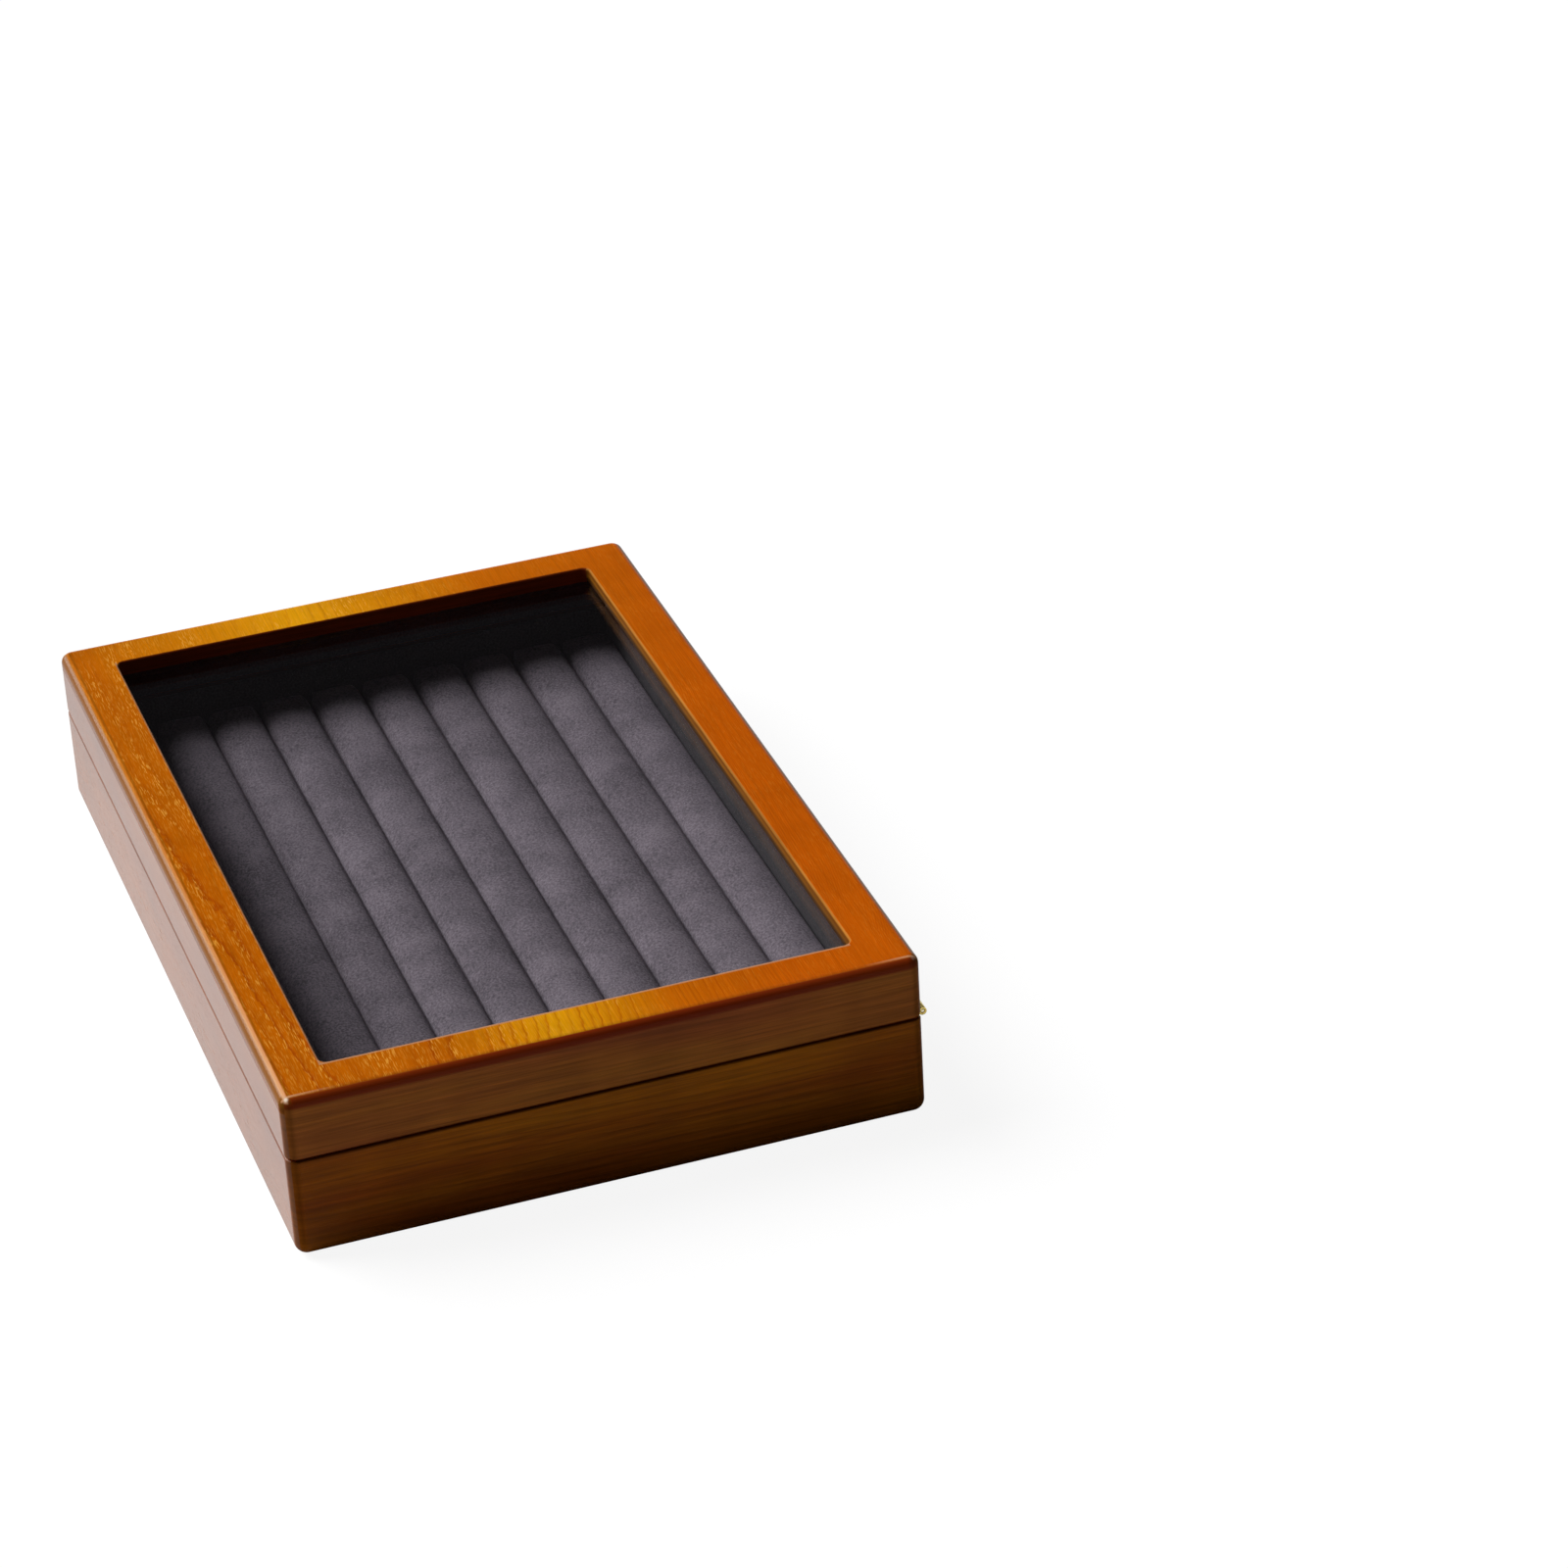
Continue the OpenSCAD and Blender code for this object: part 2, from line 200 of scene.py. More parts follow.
# The outermost layer, the split between lid and base with its eased edges
# and the painted shade along it, the round along the top, the rails round the
# window and the pane's top face
SKIN_W, RAIL_W, TOP_ROUND = 7.5, 19.0, 3.6
SPLIT_Z, SPLIT_HALF, SPLIT_SOFT, RIM_MIDDLE = 40.2, 0.5, 0.7, 4.0
PANE_Z, SAWN_DEEP = 59.0, 6.0
# Where the painted highlight sits on each corner, and how far the painted highlight along each end's edge runs from it
SPOT_IN_X, SPOT_IN_Y, SPOT_DOWN, HIGHLIGHT_L = 2.1, 2.4, 0.8, 18.0
CASE_X, CASE_Y, CASE_Z = (size / MM for size in (cad_box[1][0], -cad_box[0][1], cad_box[1][2]))


def place_on_case(tree, mm, along_x):
    """Where a point lies on the case, in millimetres, and how it faces. The
    grain runs along u, and v crosses it. It is along X on level faces, or
    along Y if along_x is False, and level with the table on upright ones."""
    x, y, z = add(tree, "SeparateXYZ", mm).node.outputs
    facing = add(tree, "VectorMath ABSOLUTE", add(tree, "TexCoord").node.outputs["Normal"])
    fx, fy, fz = add(tree, "SeparateXYZ", facing).node.outputs
    endward = add(tree, "Math GREATER_THAN", fx, fy)
    flat = add(tree, "MapRange", fz, 0.86, 0.95, interpolation_type="SMOOTHSTEP")
    upright = add(tree, "Math SUBTRACT", 1.0, flat)
    lifted = add(tree, "Math ADD", z, WALL_OFFSET)
    side = add(tree, "Mix VECTOR", endward, add(tree, "CombineXYZ", x, lifted, y),
               add(tree, "CombineXYZ", y, lifted, x))
    level = add(tree, "CombineXYZ", *((x, y, z) if along_x else (y, x, z)))
    sheet = add(tree, "Mix VECTOR", add(tree, "Math GREATER_THAN", flat, 0.5), side, level)
    u, v, _ = add(tree, "SeparateXYZ", sheet).node.outputs
    from_end = add(tree, "Math SUBTRACT", add(tree, "Math ABSOLUTE", x), CASE_X)
    from_side = add(tree, "Math SUBTRACT", add(tree, "Math ABSOLUTE", y), CASE_Y)
    from_outside = add(tree, "Math MAXIMUM", from_end, from_side)
    skin = add(tree, "Math GREATER_THAN", from_outside, -SKIN_W)
    under_skin = add(tree, "Math SUBTRACT", 1.0, skin)
    outside = add(tree, "Math MULTIPLY", skin, upright)
    inside = add(tree, "Math MULTIPLY", under_skin, upright)
    return SimpleNamespace(x=x, y=y, z=z, fx=fx, fy=fy, fz=fz, u=u, v=v, sheet=sheet, endward=endward,
                           upright=upright, from_end=from_end, from_side=from_side, from_outside=from_outside,
                           under_skin=under_skin, outside=outside, inside=inside)


def growth_rings(tree, at):
    """The depth in the log, which is the distance from its heart, bent by slow
    waves and by the log's taper, and the count of rings out to that depth."""
    wave = add(tree, "TexNoise", add(tree, "Mapping", at.sheet, Scale=(1 / 150, 1 / 45, 1 / 400)),
               Scale=1.0, Detail=1.5)
    wave = add(tree, "Math MULTIPLY", add(tree, "MapRange", wave, 0.0, 1.0, -WAVE, WAVE),
               add(tree, "MapRange", at.upright, 0.0, 1.0, 1.0, 0.35))
    off = add(tree, "Math SUBTRACT", at.v, HEART_Y)
    log = add(tree, "Math MULTIPLY_ADD", off, off, HEART_DEPTH**2)
    log = add(tree, "Math SUBTRACT", add(tree, "Math SQRT", log), HEART_DEPTH)
    log = add(tree, "Math ADD", add(tree, "Math MULTIPLY_ADD", at.u, LOG_TAPER, log), wave)
    log = add(tree, "Math MAXIMUM", log, -8.0)
    closing = add(tree, "Math MULTIPLY", add(tree, "Math MAXIMUM", log, 0.0), 1 / CLOSING_FROM)
    closing = add(tree, "Math POWER", closing, CLOSING_POWER)
    rings = add(tree, "Math ADD", closing, add(tree, "Math MULTIPLY", log, 1 / RING_W))
    knock = add(tree, "TexNoise", add(tree, "Mapping", at.sheet, Scale=(1 / 5, 1 / 3, 1 / 60)),
                Scale=1.0, Detail=1.5)
    knock = add(tree, "Math MULTIPLY", add(tree, "MapRange", knock, 0.0, 1.0, -KNOCK, KNOCK),
                add(tree, "MapRange", at.upright, 0.0, 1.0, 1.0, 0.4))
    return log, add(tree, "Math ADD", rings, knock)


def open_pores(tree, at, log, rings):
    """Pores: short open vessels along the grain, mostly in the early wood."""
    early = add(tree, "ValToRGB", add(tree, "Math FRACT", rings), ramp=[
        (0.0, 1.0), (0.2, 0.9), (0.5, 0.5), (0.85, 0.35), (0.95, 0.7), (1.0, 1.0)])
    pore = add(tree, "TexNoise", add(tree, "Mapping", at.sheet, Scale=(1 / PORE_L, 1 / PORE_W, 1 / 30)),
               Scale=1.0, Detail=1.0)
    pore = add(tree, "MapRange", pore, 0.52, 0.64, interpolation_type="SMOOTHSTEP")
    pore = add(tree, "Math MULTIPLY", pore, early)
    patchy = add(tree, "TexNoise", add(tree, "Mapping", at.sheet, Scale=(1 / 30, 1 / 12, 1 / 60)),
                 Scale=1.0, Detail=2.0)
    pore = add(tree, "Math MULTIPLY", pore, add(tree, "MapRange", patchy, 0.35, 0.6, 0.25, 1.0))
    return add(tree, "Math MULTIPLY", pore, add(tree, "MapRange", log, 55.0, 100.0, 1.0, 0.2))


def stain(tree, at):
    """Golden in the middle of the lid's sheet and redder to its sides, a
    browner coat on the outside walls, and the window's sawn inner faces,
    darker towards the pane with a painted highlight at the top, painted lit
    on the near end and painted in shade on the far end."""
    drift = add(tree, "TexNoise", add(tree, "Mapping", at.sheet, Scale=(1 / 130, 1 / 60, 1 / 300)),
                Scale=1.0, Detail=1.0)
    drift = add(tree, "MapRange", drift, 0.0, 1.0, -0.3, 0.3)
    centre = add(tree, "Math MULTIPLY_ADD", at.u, GOLD_SLANT, GOLD_Y)
    spread = add(tree, "Math MULTIPLY_ADD", at.u, GOLD_TAPER, GOLD_W)
    away = add(tree, "Math DIVIDE", add(tree, "Math SUBTRACT", at.v, centre), spread)
    band = add(tree, "MapRange", add(tree, "Math ADD", away, drift), -4.0, 4.0)
    sheet_tone = add(tree, "ValToRGB", band, ramp=[
        (0.0, linear("#B55C02")), (0.24, linear("#B55C02")), (0.38, linear("#C87A06")), (0.50, linear("#D9960A")),
        (0.63, linear("#CA7D06")), (0.75, linear("#BF6203")), (0.88, linear("#B75903")), (1.0, linear("#B95503"))])
    coat = add(tree, "TexNoise", add(tree, "Mapping", at.sheet, Scale=(1 / 140, 1 / 20, 1 / 300)), Scale=1.0)
    coats = [add(tree, "ValToRGB", coat, ramp=[(0.3, linear(tones[0])), (0.7, linear(tones[1]))])
             for tones in (LONG_TONES, SHORT_TONES)]
    coat = add(tree, "Mix RGBA", at.endward, *coats)
    coat = add(tree, "Mix RGBA", add(tree, "Math LESS_THAN", at.z, SPLIT_Z), coat,
               add(tree, "Mix RGBA", 1.0, coat, linear("#FFF960"), blend_type="MULTIPLY"))
    ground = add(tree, "Mix RGBA", at.outside, sheet_tone, coat)
    # The window's inner faces: darker towards the pane, with a painted highlight at the top edge
    window_faces_with_highlight = add(tree, "ValToRGB", add(tree, "MapRange", at.z, CASE_Z - SAWN_DEEP, CASE_Z), ramp=[
        (0.0, linear("#3C2208")), (0.25, linear("#4A2A08")), (0.45, linear("#8A5410")), (0.70, linear("#7C4606")),
        (0.84, linear("#7E4506")), (0.9, linear("#A86C26"))])
    # The near end's inner face is painted lit, the far end's painted in shade
    window_ends_lit_near_shaded_far = add(tree, "Mix RGBA", add(tree, "Math GREATER_THAN", at.x, 0.0), linear("#7A300A"), linear("#B88A58"))
    window_faces_with_highlight = add(tree, "Mix RGBA", at.endward, window_faces_with_highlight, window_ends_lit_near_shaded_far)
    return add(tree, "Mix RGBA", at.inside, ground, window_faces_with_highlight)


def grain(tree, at, ground, log, rings, fibre):
    """The stained ground with a dark line where each ring ends, some lines
    stronger than others, and with streaks and bands along the fibres."""
    figure = add(tree, "ValToRGB", add(tree, "Math FRACT", rings), ramp=[
        (0.0, 0.6), (0.1, 0.9), (0.3, 1.0), (0.75, 0.75), (0.93, 0.0), (0.98, 0.3)])
    strong = add(tree, "TexWhiteNoise", noise_dimensions="1D", W=add(tree, "Math FLOOR", rings))
    figure = add(tree, "Math MULTIPLY", add(tree, "Math SUBTRACT", 1.0, figure),
                 add(tree, "MapRange", strong, 0.0, 1.0, 0.25, 0.85))
    for place, fade in ((log, (4.0, 26.0, 0.4, 1.0)), (log, (60.0, 90.0, 1.0, 0.55)),
                        (at.upright, (0.0, 1.0, 1.0, 0.55)), (at.u, (-CASE_X, 0.0, 0.35, 1.0))):
        figure = add(tree, "Math MULTIPLY", figure, add(tree, "MapRange", place, *fade))
    deep = add(tree, "Mix RGBA", at.upright, linear("#CC9068"), linear("#A48C84"))
    dark = add(tree, "Mix RGBA", 1.0, ground, deep, blend_type="MULTIPLY")
    wood = add(tree, "Mix RGBA", figure, ground, dark)
    sheen = add(tree, "TexNoise", add(tree, "Mapping", at.sheet, Scale=(1 / 16, 1 / 60, 1 / 200)),
                Scale=1.0, Detail=1.0)
    streak = add(tree, "Math MULTIPLY", add(tree, "MapRange", fibre, 0.25, 0.75, 0.82, 1.16),
                 add(tree, "MapRange", sheen, 0.3, 0.7, 0.94, 1.06))
    band = add(tree, "TexNoise", add(tree, "Mapping", at.sheet, Scale=(1 / 45, 1 / 1.7, 1 / 60)),
               Scale=1.0, Detail=2.0)
    band = add(tree, "MapRange", band, 0.3, 0.7, -0.22, 0.18)
    band = add(tree, "Math MULTIPLY_ADD", band, add(tree, "MapRange", at.upright, 0.0, 1.0, 0.25, 1.0), 1.0)
    return add(tree, "VectorMath SCALE", wood, Scale=add(tree, "Math MULTIPLY", streak, band))


def darkened_edges(tree, at, wood):
    """Painted shade where lid and base were sawn apart, standing in for the
    depth of the gap, and dark wall faces in the well; darker stain on the
    round along the top; painted shade on the upright arrises and at the foot.
    Gives the wood, and how much of the split's painted shade and of an arris
    there is at a point."""
    # Painted shade along the split between lid and base, stronger on the short walls, plus dark wall faces in the well
    # below the pane
    in_well = add(tree, "Math MULTIPLY", at.under_skin, add(tree, "Math LESS_THAN", at.z, PANE_Z))
    near_split = add(tree, "Math ABSOLUTE", add(tree, "Math SUBTRACT", at.z, SPLIT_Z))
    split_shade_and_dark_well = add(tree, "MapRange", near_split, SPLIT_HALF, SPLIT_HALF + SPLIT_SOFT,
                add(tree, "MapRange", at.endward, 0.0, 1.0, 0.35, 0.8), 0.0)
    rim = add(tree, "Math ABSOLUTE", add(tree, "Math ADD", at.from_outside, RIM_MIDDLE))
    rim = add(tree, "Math MAXIMUM", at.outside, add(tree, "MapRange", rim, 2.5, 3.3))
    split_shade_and_dark_well = add(tree, "Math MAXIMUM", add(tree, "Math MULTIPLY", split_shade_and_dark_well, rim), in_well)
    wood = add(tree, "Mix RGBA", split_shade_and_dark_well, wood, linear("#2C0A02"))
    edge = add(tree, "MapRange", at.z, CASE_Z - TOP_ROUND - 1.0, CASE_Z - TOP_ROUND + 0.4,
               interpolation_type="SMOOTHSTEP")
    edge = add(tree, "Math MULTIPLY", add(tree, "Math MULTIPLY", edge, at.outside), 0.9)
    edge_tone = add(tree, "Mix RGBA", at.endward, linear("#86500A"), linear("#8A2A02"))
    wood = add(tree, "Mix RGBA", edge, wood, edge_tone)
    # Painted shade on the rounded upright corners and at the foot, reaching higher on the short walls
    arris = add(tree, "Math MULTIPLY", add(tree, "Math MULTIPLY", at.fx, at.fy), at.outside)
    foot = add(tree, "MapRange", at.z, 1.0, add(tree, "Math MULTIPLY_ADD", at.endward, 20.0, 7.0), 0.45, 0.0)
    shaded = add(tree, "Math MAXIMUM", add(tree, "MapRange", arris, 0.05, 0.35, 0.0, 0.45), foot)
    shaded = add(tree, "Math MULTIPLY", shaded, at.outside)
    return add(tree, "Mix RGBA", shaded, wood, linear("#4A2A04")), split_shade_and_dark_well, arris


def painted_edge_highlights(tree, at, wood):
    """Painted highlights on the round along the top: a line on the opening
    side with a painted dark line of reflection beside it, a short one from
    each corner with a pale painted highlight on the corner, and a pale
    painted highlight on the lip on two sides of the window."""
    upper = add(tree, "Math GREATER_THAN", at.z, CASE_Z - TOP_ROUND)
    upper = add(tree, "Math MULTIPLY", upper, add(tree, "MapRange", at.fz, 0.4, 0.55))
    from_front = add(tree, "Math SUBTRACT", add(tree, "Math MULTIPLY", at.y, -1.0), CASE_Y)
    # A painted highlight along the opening side's round, weaker towards the far end
    highlight_line = add(tree, "ValToRGB", add(tree, "MapRange", from_front, -4.0, 0.0), ramp=[
        (0.22, 0.0), (0.34, 0.8), (0.54, 0.8), (0.72, 0.0)])
    highlight_line = add(tree, "Math MULTIPLY", highlight_line, add(tree, "MapRange", at.x, -CASE_X, CASE_X, 0.35, 1.0))
    # A painted dark line of reflection beside the highlight on the opening side
    dark_reflection_line = add(tree, "ValToRGB", add(tree, "MapRange", from_front, -5.0, 0.0), ramp=[
        (0.16, 0.0), (0.26, 0.5), (0.36, 0.5), (0.42, 0.0)])
    # A near-white painted highlight on each corner's round, weaker on the hinge side
    spot = add(tree, "CombineXYZ", add(tree, "Math ADD", at.from_end, SPOT_IN_X),
               add(tree, "Math ADD", at.from_side, SPOT_IN_Y), add(tree, "Math SUBTRACT", at.z, CASE_Z - SPOT_DOWN))
    spot = add(tree, "VectorMath LENGTH", spot)
    corner_highlight = add(tree, "MapRange", spot, 0.3, 1.3, 1.0, 0.0, interpolation_type="SMOOTHSTEP")
    corner_highlight = add(tree, "Math MULTIPLY", corner_highlight, add(tree, "MapRange", at.y, 0.0, CASE_Y, 1.0, 0.4))
    # A short painted highlight along each end's round, running from the corner
    end_highlight = add(tree, "ValToRGB", add(tree, "MapRange", at.from_end, -4.0, 0.0), ramp=[
        (0.16, 0.0), (0.26, 0.7), (0.38, 0.7), (0.48, 0.0)])
    end_highlight = add(tree, "Math MULTIPLY", end_highlight, add(tree, "MapRange", spot, 1.5, HIGHLIGHT_L, 1.0, 0.0))
    highlight_line = add(tree, "Math MAXIMUM", add(tree, "Math MAXIMUM", highlight_line, end_highlight), corner_highlight)
    # A pale painted highlight on the window's lip along the near end and the opening side
    across = add(tree, "Math SUBTRACT", add(tree, "Math ABSOLUTE", at.y), CASE_Y - RAIL_W)
    lip_highlight = add(tree, "Math MAXIMUM", add(tree, "Math SUBTRACT", at.x, CASE_X - RAIL_W),
              add(tree, "Math MULTIPLY", across, 1.8))
    lip_highlight = add(tree, "ValToRGB", add(tree, "MapRange", lip_highlight, 0.0, 2.0), ramp=[
        (0.05, 0.0), (0.15, 0.9), (0.6, 0.9), (0.9, 0.0)])
    lip_highlight = add(tree, "Math MULTIPLY", lip_highlight, add(tree, "Math LESS_THAN", at.y, CASE_Y - RAIL_W - 1.0))
    lip_highlight = add(tree, "Math MULTIPLY", lip_highlight, add(tree, "Math GREATER_THAN", at.x, RAIL_W - CASE_X))
    # The painted highlights' tone: golden at the far end, peach near, near-white on the corners
    highlight_tone = add(tree, "Mix RGBA", add(tree, "MapRange", at.x, -CASE_X / 2, CASE_X, 0.0, 1.0),
                linear("#C48028"), linear("#DAA274"))
    highlight_tone = add(tree, "Mix RGBA", corner_highlight, highlight_tone, linear("#FFE8D0"))
    # Lays the painted dark reflection line and the painted highlights on the round
    for painted_mark, tone in ((dark_reflection_line, linear("#7A4808")), (lip_highlight, linear("#B8845C")), (highlight_line, highlight_tone)):
        wood = add(tree, "Mix RGBA", add(tree, "Math MULTIPLY", painted_mark, upper), wood, tone)
    return wood


def ash_veneer(name, along_x, shine):
    """Stained ash veneer, whose grain runs along X on level faces if along_x
    is True. The eye gets dark ring lines, pale flecks of pores and a soft
    gloss. shine is how much of a full lacquer's gloss the wood has."""
    material, tree, mm = new_material(name)
    at = place_on_case(tree, mm, along_x)
    log, rings = growth_rings(tree, at)
    pore = open_pores(tree, at, log, rings)
    fibre = add(tree, "TexNoise", add(tree, "Mapping", at.sheet, Scale=(1 / FIBRE_L, 1 / FIBRE_W, 1 / 20)),
                Scale=1.0, Detail=3.0, Roughness=0.65)
    wood = grain(tree, at, stain(tree, at), log, rings, fibre)
    pale = add(tree, "Math MULTIPLY", pore, add(tree, "MapRange", at.upright, 0.0, 1.0, 0.6, 0.04))
    wood = add(tree, "Mix RGBA", pale, wood, linear("#E8A83C"))
    wood, split_shade_and_dark_well, arris = darkened_edges(tree, at, wood)
    wood = painted_edge_highlights(tree, at, wood)
    gloss = add(tree, "Math MULTIPLY_ADD", pore, 0.12, add(tree, "MapRange", fibre, 0.0, 1.0, 0.16, 0.25))
    gloss = add(tree, "Math ADD", gloss, add(tree, "Math MULTIPLY", add(tree, "Math MAXIMUM", at.inside, split_shade_and_dark_well), 0.6))
    gloss = add(tree, "Math ADD", gloss, add(tree, "MapRange", arris, 0.05, 0.35, 0.0, 0.5))
    depth = add(tree, "Math SUBTRACT", add(tree, "Math MULTIPLY", fibre, 0.3), add(tree, "Math MULTIPLY", pore, 0.6))
    bump = add(tree, "Bump", Height=depth, Strength=0.25, Distance=0.04 * MM)
    add(tree, "OutputMaterial", add(tree, "BsdfPrincipled", wood, Roughness=gloss, Normal=bump,
                                    Specular_IOR_Level=shine))
    return material


def finish_node(name, material):
    """Gives a CAD node a better material in its own slots."""
    for i in range(len(nodes[name].material_slots)):
        nodes[name].material_slots[i].material = material


top_ash = ash_veneer("stained ash veneer of the top", True, 0.05)
long_ash = ash_veneer("stained ash veneer of the long walls", True, 0.4)
short_ash = ash_veneer("stained ash veneer of the short walls", False, 0.05)
finish_node("lid_top_panel", top_ash)
finish_node("bottom_panel", long_ash)
for part in ("lid", "base"):
    for side in ("front", "rear"):
        finish_node(f"{part}_{side}_wall", long_ash)
    for side in ("left", "right"):
        finish_node(f"{part}_{side}_wall", short_ash)

# ---- Felt ----
# A sheet of pressed felt is glued under the base, a few millimetres short of
# its rounded edges, so that the box slides on a table without scratching it.
FELT_FUZZ, FELT_CLUMP = 0.5, 4.0


def soft_block(name, low, high, edge, cells, shape=None):
    """A closed block from corner low to corner high, whose edges are rounded
    by edge. Each side has about as many cells as the three numbers say, and
    shape may move each point, given as a vector, as a last step."""
    marks = []
    for axis in range(3):
        rounds = [edge * t for t in (0.0, 0.35, 0.7, 1.0)]
        inner = np.linspace(low[axis] + edge, high[axis] - edge, cells[axis] + 1)[1:-1]
        marks.append([low[axis] + r for r in rounds] + list(inner) + [high[axis] - r for r in reversed(rounds)])
    points, faces = {}, []
    for axis in range(3):
        a, b = [other for other in range(3) if other != axis]
        for end in (0, len(marks[axis]) - 1):
            for i in range(len(marks[a]) - 1):
                for j in range(len(marks[b]) - 1):
                    face = []
                    for da, db in ((0, 0), (1, 0), (1, 1), (0, 1)):
                        key = [0, 0, 0]
                        key[axis], key[a], key[b] = end, i + da, j + db
                        face.append(points.setdefault(tuple(key), len(points)))
                    faces.append(face)
    corners = []
    for key in points:
        point = Vector([marks[axis][key[axis]] for axis in range(3)])
        core = Vector([min(max(point[k], low[k] + edge), high[k] - edge) for k in range(3)])
        if (point - core).length > 0:
            point = core + (point - core).normalized() * edge
        corners.append(shape(point) if shape else point)
    mesh = bpy.data.meshes.new(name)
    mesh.from_pydata(corners, [], faces)
    shell = bmesh.new()
    shell.from_mesh(mesh)
    bmesh.ops.remove_doubles(shell, verts=shell.verts, dist=1e-7)
    bmesh.ops.recalc_face_normals(shell, faces=shell.faces)
    shell.to_mesh(mesh)
    shell.free()
    mesh.shade_smooth()
    block = bpy.data.objects.new(name, mesh)
    scene.collection.objects.link(block)
    return block


# Pressed wool is matt, with a fuzz of fibres and soft clumps
pressed_felt, tree, mm = new_material("pressed wool felt")
fuzz = add(tree, "TexNoise", mm, Scale=1 / FELT_FUZZ, Detail=3.0)
clump = add(tree, "TexNoise", mm, Scale=1 / FELT_CLUMP, Detail=2.0)
mottle = add(tree, "Math MULTIPLY_ADD", fuzz, 0.6, add(tree, "Math MULTIPLY", clump, 0.4))
colour = add(tree, "ValToRGB", mottle, ramp=[(0.35, linear("#1E1D20")), (0.65, linear("#343236"))])
bump = add(tree, "Bump", Height=mottle, Strength=0.5, Distance=0.2 * MM)
add(tree, "OutputMaterial", add(tree, "BsdfPrincipled", colour, Roughness=0.95, Normal=bump,
                                Specular_IOR_Level=0.2, Sheen_Weight=0.1, Sheen_Roughness=0.6))
low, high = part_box("underside_felt")
felt = soft_block("felt_sheet", low, high, 0.25 * MM, (40, 28, 1))
felt.data.materials.append(pressed_felt)
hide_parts("underside_felt")
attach(felt, "base")

# ---- Covered boards ----
# Thin boards are covered in near-black velvet, with the cloth turned round
# their edges. One lies under the rolls, and one stands against each wall of
# the base and of the lid, where it also holds the pane up.
BOARD_EDGE, BOARD_EASE, BOARD_CELL = 0.8 * MM, 0.12 * MM, 6 * MM
BOARD_WAVES = 40.0


def velvet(name, shade, light, pile_w, cloud_w, sheen):
    """Short-pile velvet between two shades. Its pile leans in tufts of pile_w,
    and clouds in patches of cloud_w where it was brushed one way or other."""
    material, tree, mm = new_material(name)
    pile = add(tree, "TexNoise", mm, Scale=1 / pile_w, Detail=2.0, Roughness=0.45)
    cloud = add(tree, "TexNoise", mm, Scale=1 / cloud_w, Detail=3.0, Roughness=0.6)
    nap = add(tree, "Math MULTIPLY_ADD", cloud, 0.4, add(tree, "Math MULTIPLY", pile, 0.6))
    colour = add(tree, "ValToRGB", nap, ramp=[(0.36, shade), (0.64, light)])
    bump = add(tree, "Bump", Height=pile, Strength=0.25, Distance=0.1 * MM)
    rough = add(tree, "MapRange", cloud, 0.0, 1.0, 0.85, 1.0)
    add(tree, "OutputMaterial", add(
        tree, "BsdfPrincipled", colour, Roughness=rough, Normal=bump, Specular_IOR_Level=0.15,
        Sheen_Weight=sheen, Sheen_Roughness=0.5, Sheen_Tint=linear("#A8A0B0")))
    return material


lining_velvet = velvet("near-black lining velvet", linear("#2A272A"), linear("#423E42"), 0.9, 22.0, 0.02)
boards = [("roll_board", "base")]
boards += [(f"{part}_{side}_lining", part) for part in ("base", "lid") for side in ("front", "rear", "left", "right")]
for node, part in boards:
    low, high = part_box(node)
    sizes = [high[k] - low[k] for k in range(3)]
    thin = sizes.index(min(sizes))
    middle = (low[thin] + high[thin]) / 2

    def waved(point, thin=thin, middle=middle):
        share = 0.5 + 0.5 * noise.noise(point * BOARD_WAVES)
        point[thin] += math.copysign(BOARD_EASE * share, middle - point[thin])
        return point

    board = soft_block(f"covered_{node}", low, high, BOARD_EDGE, [max(1, round(s / BOARD_CELL)) for s in sizes], waved)
    board.data.materials.append(lining_velvet)
    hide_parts(node)
    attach(board, part)

# ---- Ring rolls ----
# Ten strips of foam, each wrapped in grey-violet velvet, are wedged side by
# side in the well. Each is crowned between its neighbours, its sides are
# pressed flat by them, and its ends are rounded where the cloth is sewn shut.
ROLL_ROUND, ROLL_CROWN, ROLL_SLACK = 1.3 * MM, 1.2 * MM, 0.35 * MM
ROLL_VOXEL, ROLL_SWELL, ROLL_FIT = 2.6 * MM, 2.2 * MM, 0.02 * MM
ROLL_PRESSURE, SWELL_STEPS = 4.0, 20
ROLL_UNEVEN, UNEVEN_PER_M = 0.25 * MM, 14


def fitted_in(mesh, low, high):
    """Presses a mesh's points back into the space between two corners."""
    flat = np.empty(len(mesh.vertices) * 3)
    mesh.vertices.foreach_get("co", flat)
    points = flat.reshape(-1, 3)
    points[:, 2] += high[2] - points[:, 2].max()
    np.clip(points, [v + ROLL_FIT for v in low], [v - ROLL_FIT for v in high], out=points)
    mesh.vertices.foreach_set("co", points.ravel())
    mesh.update()


